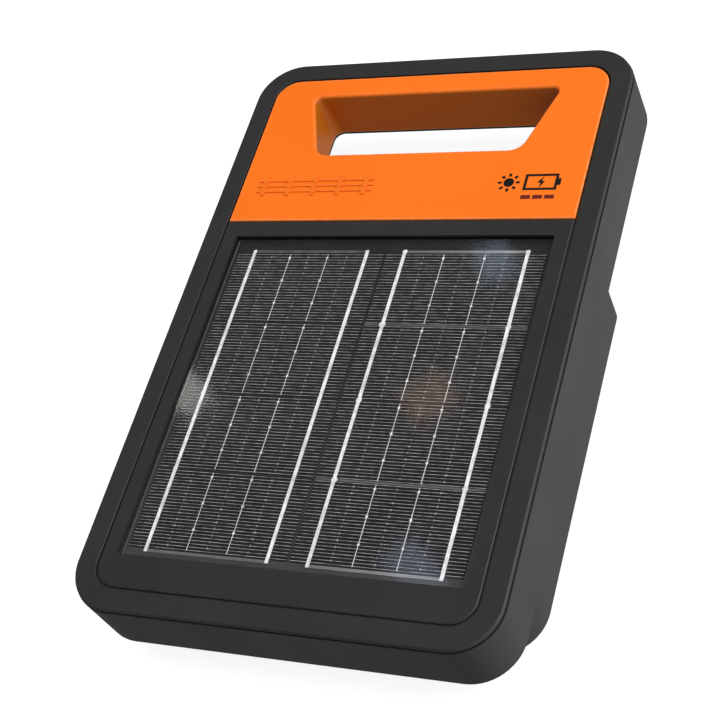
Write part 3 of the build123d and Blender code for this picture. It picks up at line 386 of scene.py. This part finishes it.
def laminate():
    """Green solder mask over a woven glass board, with faint tracks."""
    made = Finish("board_laminate", roughness=0.35, coat=0.3)
    weave = made.add("ShaderNodeTexChecker", {
        "Vector": made.where, "Scale": WEAVE_CELLS,
        "Color1": MASK_GREEN, "Color2": MASK_DARK})
    tracks = made.add("ShaderNodeTexBrick", {
        "Vector": made.where, "Scale": TRACK_CELLS, "Mortar Size": 0.06,
        "Color1": MASK_DARK, "Color2": MASK_GREEN, "Mortar": TRACK_GREEN})
    made.use(Base_Color=made.blend(0.5, weave.outputs["Color"], tracks.outputs["Color"]),
             Normal=made.bump(tracks.outputs["Fac"], 0.03 * MM))
    return made.material


def open_foam():
    """Foam with visible pores."""
    made = Finish("foam", roughness=0.9, specular=0.2)
    pores = made.add("ShaderNodeTexVoronoi", {
        "Vector": made.where, "Scale": FOAM_CELLS}).outputs["Distance"]
    # painted shade: darker in the pits of the pores
    made.use(Base_Color=made.blend(pores, grey(0.01), grey(0.05)),
             Normal=made.bump(pores, 0.3 * MM))
    return made.material


def shrink_wrap():
    """Glossy heat-shrink sleeve with small wrinkles."""
    made = Finish("battery_wrap", roughness=0.28, coat=0.3)
    folds = made.noise(3 * MM, detail=3, stretch=(0.3, 1, 1))
    tone = made.blend(made.spread(folds, 0, 1), (0.02, 0.10, 0.28, 1), (0.03, 0.14, 0.38, 1))
    made.use(Base_Color=tone, Normal=made.bump(folds, 0.1 * MM))
    return made.material


def clear_lens():
    """Frosted light pipe."""
    made = Finish("clear_lens", roughness=0.35, ior=1.49)
    made.shader.inputs["Transmission Weight"].default_value = 0.6
    frost = made.noise(0.8 * MM, detail=2)
    tone = made.blend(made.spread(frost, 0, 1), (0.75, 0.8, 0.78, 1), (0.9, 0.93, 0.92, 1))
    made.use(Base_Color=tone, Roughness=made.spread(frost, 0.25, 0.45))
    return made.material


silver_print = printed_silver()
painted_glint_strip = strip_with_painted_glint()
ribbon_tin = tinned()
seal_bead = soft_rubber("seal_bead", grey(0.13), 0.6)
white_ink = moulded_plastic("white_ink", grey(0.55), 0.6, cloud=0.05)
black_ink = moulded_plastic("black_ink", grey(0.005), 0.5, cloud=0.15, specular=0.2)
red_ink = moulded_plastic("red_ink", (0.10, 0.010, 0.006, 1), 0.5, cloud=0.1, specular=0.2)
relief_orange = moulded_plastic(
    "relief_orange", scaled(ORANGE, 0.93), 0.42, grain=0.5 * MM, depth=0.01 * MM, cloud=0.03,
    specular=0.25, pale_edge=scaled(ORANGE, 1.04))
# the fascia carries painted light: shade on its steep faces and a pale edge highlight
fascia_orange = moulded_plastic(
    "fascia_orange", ORANGE, 0.42, grain=0.5 * MM, depth=0.01 * MM, cloud=0.03, specular=0.15,
    pale_edge=ORANGE_EDGE_HIGHLIGHT, edge_width=1.1 * MM, edge_from=0.999, edge_to=0.93,
    upright_shade=ORANGE_PAINTED_SHADE)

finishes = {
    "black_housing": moulded_plastic("housing_black", BLACK, 0.50),
    "black_bezel": moulded_plastic("bezel_black", scaled(BLACK, 0.96), 0.47, grain=0.4 * MM),
    "orange_fascia": fascia_orange,
    "seal_rubber": soft_rubber("seal_rubber", grey(0.012)),
    "screw_steel": worked_metal("screw_steel", grey(0.52), 0.32),
    "panel_glass": panel_glass(),
    "cell_silicon": silicon(),
    "tinned_ribbon": ribbon_tin,
    "backsheet": backing(),
    "foam": open_foam(),
    "black_component": moulded_plastic("black_component", grey(0.02), 0.42),
    "white_component": moulded_plastic("white_component", grey(0.7), 0.45, cloud=0.04),
    "carrier_plastic": moulded_plastic("carrier_plastic", grey(0.05), 0.5),
    "battery_wrap": shrink_wrap(),
    "nickel": worked_metal("nickel_strip", grey(0.6, 0.03), 0.25, stretch=(0.1, 1, 1)),
    "board_laminate": laminate(),
    "ferrite": soft_rubber("ferrite", grey(0.035), 0.6),
    "winding_copper": wound_wire("winding_copper", (0.55, 0.16, 0.06, 1), 0.6 * MM),
    "capacitor_case": moulded_plastic("capacitor_case", (0.02, 0.06, 0.22, 1), 0.35),
    "button_rubber": soft_rubber("button_rubber", grey(0.03), 0.65),
    "clear_lens": clear_lens(),
    "stainless": worked_metal("stainless", grey(0.6), 0.24, stretch=(1, 1, 0.15)),
    "brass_metal": worked_metal("brass_metal", (0.62, 0.42, 0.14, 1), 0.3),
    "red_knob": moulded_plastic("red_knob", (0.42, 0.012, 0.01, 1), 0.4, cloud=0.05),
    "green_knob": moulded_plastic("green_knob", (0.01, 0.16, 0.035, 1), 0.4, cloud=0.05),
    "lead_red": soft_rubber("lead_red", (0.35, 0.01, 0.01, 1), 0.5),
    "lead_green": soft_rubber("lead_green", (0.01, 0.18, 0.04, 1), 0.5),
    "lead_black": soft_rubber("lead_black", grey(0.015), 0.5),
}
for shape in nodes.values():
    for place in shape.material_slots:
        place.material = finishes[place.material.name.split(".")[0]]
for place in nodes["bus_strips"].material_slots:
    place.material = painted_glint_strip


# ---- solar cells: printed grid, busbars and solder ------------------------------------
FINGER_PITCH = 1.55 * MM
FINGER_WIDTH = 0.19 * MM
FINGER_MARGIN = 0.6 * MM       # from the wafer's long edges to the printed grid
FINGER_SIDE = 0.25 * MM        # and from its short edges
PRINT_HEIGHT = 0.03 * MM
BUSBAR_STEPS = 6               # each pair of ribbons is this many steps apart
THIN_STEPS = (2, 4)            # the thin busbars stand at these steps
DASHED_STEPS = (1, 3, 5)       # and the dashed ones at these
THIN_BUSBAR = 0.30 * MM
PAD = 1.25 * MM                # solder pads on the thin busbars
PAD_SIDES = 12
PAD_SHARES = (0.07, 0.40, 0.73)
DASH_LENGTH = 0.9 * MM
DASH_WIDTH = 0.42 * MM
JOINT_SEED = 7
JOINT_WIDTH = 1.45 * MM        # half sizes of the lumps of solder
JOINT_LENGTH = 1.3 * MM
JOINT_HEIGHT = 0.14 * MM
JOINT_END = 0.7 * MM           # from the ribbons' upper ends to their last lump
JOINT_STRAY = 0.15
SMALL_JOINT = 0.8
ROW_JOIN = 0.9 * MM
SEAL_INSET = 3.7 * MM          # from the glass's edge to the bead of sealant
SEAL_BEAD = 0.35 * MM

wafer_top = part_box("solar_cells")[1].z
columns = spans("solar_cells", 0)
rows = spans("solar_cells", 1)
ribbons = spans("cell_ribbons", 0)
row_joins = [(below[1] + above[0]) / 2 for below, above in zip(rows, rows[1:])]


def make_fingers():
    """Fine printed lines across each wafer."""
    mesh = bmesh.new()
    for left, right in columns:
        for low, high in rows:
            count = int((high - low - 2 * FINGER_MARGIN) / FINGER_PITCH) + 1
            start = (low + high - (count - 1) * FINGER_PITCH) / 2
            for i in range(count):
                y = start + i * FINGER_PITCH
                add_bar(mesh, (left + FINGER_SIDE, y - FINGER_WIDTH / 2, wafer_top),
                        (right - FINGER_SIDE, y + FINGER_WIDTH / 2, wafer_top + PRINT_HEIGHT))
    piece("cell_fingers", mesh, silver_print)


def make_busbars():
    """Thin busbars with solder pads between each pair of ribbons, and faint dashed ones."""
    lines, dashes = bmesh.new(), bmesh.new()
    top = wafer_top + 2 * PRINT_HEIGHT
    for first, second in (ribbons[:2], ribbons[2:]):
        left, right = sum(first) / 2, sum(second) / 2
        unit = (right - left) / BUSBAR_STEPS
        for low, high in rows:
            for step in THIN_STEPS:
                x = left + step * unit
                add_bar(lines, (x - THIN_BUSBAR / 2, low + FINGER_MARGIN, wafer_top),
                        (x + THIN_BUSBAR / 2, high - FINGER_MARGIN, top))
                for share in PAD_SHARES:
                    y = high - share * (high - low)
                    add_disc(lines, (x, y), PAD / 2, wafer_top, top + PRINT_HEIGHT, PAD_SIDES)
            count = int((high - low - 2 * FINGER_MARGIN) / FINGER_PITCH)
            start = (low + high - count * FINGER_PITCH) / 2
            for step in DASHED_STEPS:
                x = left + step * unit
                for i in range(1, count, 2):
                    y = start + i * FINGER_PITCH
                    add_bar(dashes, (x - DASH_WIDTH / 2, y - DASH_LENGTH / 2, wafer_top),
                            (x + DASH_WIDTH / 2, y + DASH_LENGTH / 2, top))
    piece("thin_busbars", lines, ribbon_tin)
    piece("busbar_dashes", dashes, silver_print)


def make_solder_joints():
    """Lumps of solder where the ribbons pass from cell to cell and at their upper ends. Those
    between the cells of the right column are fuller."""
    rng = random.Random(JOINT_SEED)
    mesh = bmesh.new()
    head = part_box("cell_ribbons")[1]
    for number, (left, right) in enumerate(ribbons):
        for y in row_joins + [head.y - JOINT_END]:
            full = number >= 2 and y in row_joins
            grow = rng.uniform(0.85, 1.15) * (1.0 if full else SMALL_JOINT)
            x = (left + right) / 2 + rng.uniform(-JOINT_STRAY, JOINT_STRAY) * MM
            add_lump(mesh, (x, y, head.z - JOINT_HEIGHT),
                     (JOINT_WIDTH * grow, JOINT_LENGTH * grow, JOINT_HEIGHT))
    piece("solder_joints", mesh, ribbon_tin, smooth=True)


def make_row_joins():
    """Strips of dull film over the first and last joins between the right column's cells."""
    mesh = bmesh.new()
    left, right = columns[-1]
    for y in (row_joins[0], row_joins[-1]):
        add_bar(mesh, (left + FINGER_SIDE, y - ROW_JOIN / 2, wafer_top),
                (right - FINGER_SIDE, y + ROW_JOIN / 2, wafer_top + PRINT_HEIGHT))
    piece("row_joins", mesh, painted_glint_strip)


def make_edge_seal():
    """A thin pale bead of sealant along the laminate's left and lower edges."""
    mesh = bmesh.new()
    low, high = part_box("solar_glass")
    rise = wafer_top + 2 * PRINT_HEIGHT
    left, foot = low.x + SEAL_INSET, low.y + SEAL_INSET
    add_bar(mesh, (left, foot, wafer_top), (left + SEAL_BEAD, high.y - SEAL_INSET, rise))
    add_bar(mesh, (left + SEAL_BEAD, foot, wafer_top),
            (high.x - SEAL_INSET, foot + SEAL_BEAD, rise))
    piece("edge_seal", mesh, seal_bead)


make_fingers()
make_busbars()
make_solder_joints()
make_row_joins()
make_edge_seal()


# ---- printed and raised signs -----------------------------------------------------------
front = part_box("handle_fascia")[1].z
INK = 0.05 * MM                # thickness of the printing
SIGN_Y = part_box("handle_fascia")[0].y + 20.5 * MM

POWER_SIGN_X = 62.0 * MM
SUN_X = POWER_SIGN_X - 10.2 * MM
SUN_R = 2.5 * MM
SUN_RAYS = 8
RAY_START, RAY_END = 3.4 * MM, 5.2 * MM
RAY_WIDTH = 1.3 * MM
CASE_LEFT, CASE_RIGHT = POWER_SIGN_X - 2.8 * MM, POWER_SIGN_X + 13.0 * MM
CASE_HEIGHT = 9.2 * MM
CASE_LINE = 1.3 * MM
POLE_LENGTH, POLE_HEIGHT = 1.5 * MM, 3.8 * MM
CASE_BOLT = 6.6 * MM
LEVEL_BARS = 3
LEVEL_PITCH, LEVEL_LENGTH = 5.6 * MM, 4.6 * MM
LEVEL_LOW, LEVEL_HIGH = SIGN_Y - 9.6 * MM, SIGN_Y - 7.4 * MM

FENCE_SIGN_X = -47.0 * MM
FENCE_RELIEF = 0.55 * MM       # how far its posts stand above the face
POSTS = 5
POST_PITCH = 13.5 * MM
POST_WIDTH, POST_HEIGHT = 1.8 * MM, 11.2 * MM
FENCE_WIRES = (-3.2 * MM, 0.0, 3.2 * MM)
FENCE_WIRE_LENGTH, FENCE_WIRE_WIDTH = 62.0 * MM, 0.7 * MM
FENCE_WIRE_SINK = 0.05 * MM
INSULATOR_R = 1.45 * MM
INSULATOR_PROUD = 0.06 * MM
INSULATOR_SIDES = 20

SIGNS_RISE = 17.5 * MM         # from the button's middle to the signs beside the controls
SIGN_LINE = 0.8 * MM
TERMINAL_BOLT = 8.0 * MM
STEM = 4.0 * MM
EARTH_WIDTHS = (7.2 * MM, 4.8 * MM, 2.4 * MM)
EARTH_PITCH = 1.6 * MM
SWITCH_OUTER, SWITCH_INNER = 3.2 * MM, 2.4 * MM
SWITCH_START, SWITCH_TURN = math.radians(120), math.radians(300)
SWITCH_STEM = 0.6 * MM         # where its stem starts above its middle


def make_power_sign():
    """Black printed pictograms, a sun and a battery with a bolt, over three dark red bars."""
    mesh = bmesh.new()
    low, high = front, front + INK
    sun = Vector((SUN_X, SIGN_Y))
    add_disc(mesh, sun, SUN_R, low, high)
    for i in range(SUN_RAYS):
        a = math.tau * i / SUN_RAYS
        ray = Vector((math.cos(a), math.sin(a)))
        half = Vector((-ray.y, ray.x)) * RAY_WIDTH / 2
        near, far = sun + ray * RAY_START, sun + ray * RAY_END
        add_plate(mesh, [near - half, far - half, far + half, near + half], low, high)
    foot, head = SIGN_Y - CASE_HEIGHT / 2, SIGN_Y + CASE_HEIGHT / 2
    inner_foot, inner_head = foot + CASE_LINE, head - CASE_LINE
    pole_foot, pole_head = SIGN_Y - POLE_HEIGHT / 2, SIGN_Y + POLE_HEIGHT / 2
    add_bar(mesh, (CASE_LEFT, foot, low), (CASE_RIGHT, inner_foot, high))
    add_bar(mesh, (CASE_LEFT, inner_head, low), (CASE_RIGHT, head, high))
    add_bar(mesh, (CASE_LEFT, inner_foot, low), (CASE_LEFT + CASE_LINE, inner_head, high))
    add_bar(mesh, (CASE_RIGHT - CASE_LINE, inner_foot, low), (CASE_RIGHT, inner_head, high))
    add_bar(mesh, (CASE_RIGHT, pole_foot, low), (CASE_RIGHT + POLE_LENGTH, pole_head, high))
    add_bolt(mesh, ((CASE_LEFT + CASE_RIGHT) / 2, SIGN_Y), CASE_BOLT, low, high)
    bars = bmesh.new()
    for i in range(LEVEL_BARS):
        x = CASE_LEFT + i * LEVEL_PITCH
        add_bar(bars, (x, LEVEL_LOW, low), (x + LEVEL_LENGTH, LEVEL_HIGH, high))
    piece("power_sign", mesh, black_ink)
    piece("level_bars", bars, red_ink)


def make_fence_sign():
    """A fence moulded a hair above the orange face: posts, wires and their insulators."""
    mesh = bmesh.new()
    low, high = front, front + FENCE_RELIEF
    for i in range(POSTS):
        x = FENCE_SIGN_X + (i - (POSTS - 1) / 2) * POST_PITCH
        add_bar(mesh, (x - POST_WIDTH / 2, SIGN_Y - POST_HEIGHT / 2, low),
                (x + POST_WIDTH / 2, SIGN_Y + POST_HEIGHT / 2, high))
        for rise in FENCE_WIRES:
            add_disc(mesh, (x, SIGN_Y + rise), INSULATOR_R, low, high + INSULATOR_PROUD,
                     INSULATOR_SIDES)
    for rise in FENCE_WIRES:
        y = SIGN_Y + rise
        add_bar(mesh, (FENCE_SIGN_X - FENCE_WIRE_LENGTH / 2, y - FENCE_WIRE_WIDTH / 2, low),
                (FENCE_SIGN_X + FENCE_WIRE_LENGTH / 2, y + FENCE_WIRE_WIDTH / 2,
                 high - FENCE_WIRE_SINK))
    piece("fence_sign", mesh, relief_orange)


def make_control_signs():
    """White signs on the shelf beside the controls, read from behind the unit: a bolt for the
    fence, the earth sign, and the switch sign."""
    mesh = bmesh.new()
    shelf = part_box("fence_washer")[1].z
    low, high = shelf - INK, shelf
    half = SIGN_LINE / 2
    y = middle("power_button").y + SIGNS_RISE
    add_bolt(mesh, (middle("fence_knob").x, y), TERMINAL_BOLT, low, high)
    x = middle("earth_knob").x
    add_bar(mesh, (x - half, y, low), (x + half, y + STEM, high))
    for i, width in enumerate(EARTH_WIDTHS):
        line = y - i * EARTH_PITCH
        add_bar(mesh, (x - width / 2, line - half, low), (x + width / 2, line + half, high))
    x = middle("power_button").x
    add_arc(mesh, (x, y), SWITCH_OUTER, SWITCH_INNER, low, high, SWITCH_START, SWITCH_TURN)
    add_bar(mesh, (x - half, y + SWITCH_STEM, low), (x + half, y + STEM, high))
    piece("control_signs", mesh, white_ink)


make_power_sign()
make_fence_sign()
make_control_signs()


# ---- floor, light and camera ------------------------------------------------------------
FLOOR_HALF = 6.0
FLOOR_GLOW = 0.86
FLOOR_GAP = 0.2 * MM                     # from the floor up to the unit's back
WORLD_ACROSS = (0.0, 0.6, 0.32, 1.15)    # from these X directions, to these brightnesses
WORLD_BELOW = (-1.0, -0.8, 0.5, 1.0)     # from these Z directions, to these shares
SOFTBOXES = (                            # name, place, size, watts, colour and what it misses
    ("top_light", (-0.25, 0.25, 1.7), (1.6, 1.6), 22.5, (1.0, 1.0, 1.0), "glossy"),
    ("side_light", (1.0, 0.15, 0.75), (0.7, 0.6), 8.0, (1.0, 1.0, 1.0), None),
    # far windows and walls that only show as reflections in the panel
    ("pale_glint", (-0.965, 0.675, 1.20), (0.05, 0.14), 0.105, (1.0, 0.97, 0.93), "diffuse"),
    ("blue_glint", (-0.50, 0.88, 1.20), (0.05, 0.05), 0.022, (0.55, 0.72, 1.0), "diffuse"),
    ("low_blue_glint", (-0.488, 0.392, 1.20), (0.05, 0.08), 0.028, (0.6, 0.72, 1.0), "diffuse"),
    ("warm_glint", (-0.54, 0.65, 1.20), (0.07, 0.05), 0.022, (1.0, 0.6, 0.4), "diffuse"),
)
CAMERA_PLACE = Vector((0.3059, -0.3540, 0.5717))
CAMERA_AIM = Vector((0.0077, -0.0258, 0.0520))
CAMERA_ROLL = math.radians(-32.6)
LENS, SENSOR = 78.3, 36.0                # millimetres


def make_floor():
    """A pale sheet that glows faintly by itself, so that the shadows on it stay soft.
    It is clear from below, so that the unit's back can be looked at."""
    made = Finish("floor_white", roughness=0.8, specular=0.1)
    dust = made.noise(0.3, detail=2)
    made.use(Base_Color=made.blend(made.spread(dust, 0, 1), grey(0.28), grey(0.30)))
    made.shader.inputs["Emission Color"].default_value = grey(1.0)
    made.shader.inputs["Emission Strength"].default_value = FLOOR_GLOW
    under = made.add("ShaderNodeNewGeometry").outputs["Backfacing"]
    clear = made.add("ShaderNodeBsdfTransparent").outputs[0]
    made.surface(made.add("ShaderNodeMixShader", {
        0: under, 1: made.shader.outputs[0], 2: clear}).outputs[0])
    mesh = bmesh.new()
    corners = ((-1, -1), (1, -1), (1, 1), (-1, 1))
    mesh.faces.new([mesh.verts.new((x * FLOOR_HALF, y * FLOOR_HALF, cad_low.z - FLOOR_GAP))
                    for x, y in corners])
    data = bpy.data.meshes.new("floor")
    mesh.to_mesh(data)
    mesh.free()
    floor = bpy.data.objects.new("floor", data)
    bpy.context.scene.collection.objects.link(floor)
    data.materials.append(made.material)
    floor.visible_glossy = False
    floor.visible_diffuse = False
    floor.visible_shadow = False


def make_world():
    """A pale studio, brighter towards +X and dim right below."""
    world = bpy.data.worlds.new("studio")
    world.use_nodes = True
    tree = world.node_tree
    tree.nodes.clear()
    parts = tree.nodes.new("ShaderNodeSeparateXYZ")
    tree.links.new(tree.nodes.new("ShaderNodeTexCoord").outputs["Generated"], parts.inputs[0])
    level = tree.nodes.new("ShaderNodeMath")
    level.operation = "MULTIPLY"
    for socket, (axis, ramp) in enumerate((("X", WORLD_ACROSS), ("Z", WORLD_BELOW))):
        share = tree.nodes.new("ShaderNodeMapRange")
        share.interpolation_type = "SMOOTHSTEP"
        for name, value in zip(("From Min", "From Max", "To Min", "To Max"), ramp):
            share.inputs[name].default_value = value
        tree.links.new(parts.outputs[axis], share.inputs["Value"])
        tree.links.new(share.outputs[0], level.inputs[socket])
    light = tree.nodes.new("ShaderNodeBackground")
    out = tree.nodes.new("ShaderNodeOutputWorld")
    tree.links.new(level.outputs[0], light.inputs["Strength"])
    tree.links.new(light.outputs[0], out.inputs["Surface"])
    bpy.context.scene.world = world


def make_softbox(name, place, size, power, colour, missed):
    """A rectangular light aimed at the unit's middle, hidden from the camera."""
    light = bpy.data.lights.new(name, "AREA")
    light.shape = "RECTANGLE"
    light.size, light.size_y = size
    light.energy = power
    light.color = colour
    lamp = bpy.data.objects.new(name, light)
    lamp.location = place
    aim = (cad_low + cad_high) / 2 - Vector(place)
    lamp.rotation_euler = aim.to_track_quat("-Z", "Y").to_euler()
    lamp.visible_camera = False
    lamp.visible_glossy = missed != "glossy"
    lamp.visible_diffuse = missed != "diffuse"
    bpy.context.scene.collection.objects.link(lamp)


def make_camera():
    """A camera that sees the unit's front, right side and lower edge, tilted by its roll."""
    camera = bpy.data.objects.new("camera", bpy.data.cameras.new("camera"))
    camera.data.lens = LENS
    camera.data.sensor_width = SENSOR
    camera.rotation_mode = "QUATERNION"
    camera.location = CAMERA_PLACE
    level = (CAMERA_AIM - CAMERA_PLACE).to_track_quat("-Z", "Y")
    camera.rotation_quaternion = level @ Quaternion((0, 0, 1), CAMERA_ROLL)
    bpy.context.scene.collection.objects.link(camera)
    bpy.context.scene.camera = camera


make_floor()
make_world()
for softbox in SOFTBOXES:
    make_softbox(*softbox)
make_camera()
bpy.context.scene.view_settings.view_transform = "Standard"
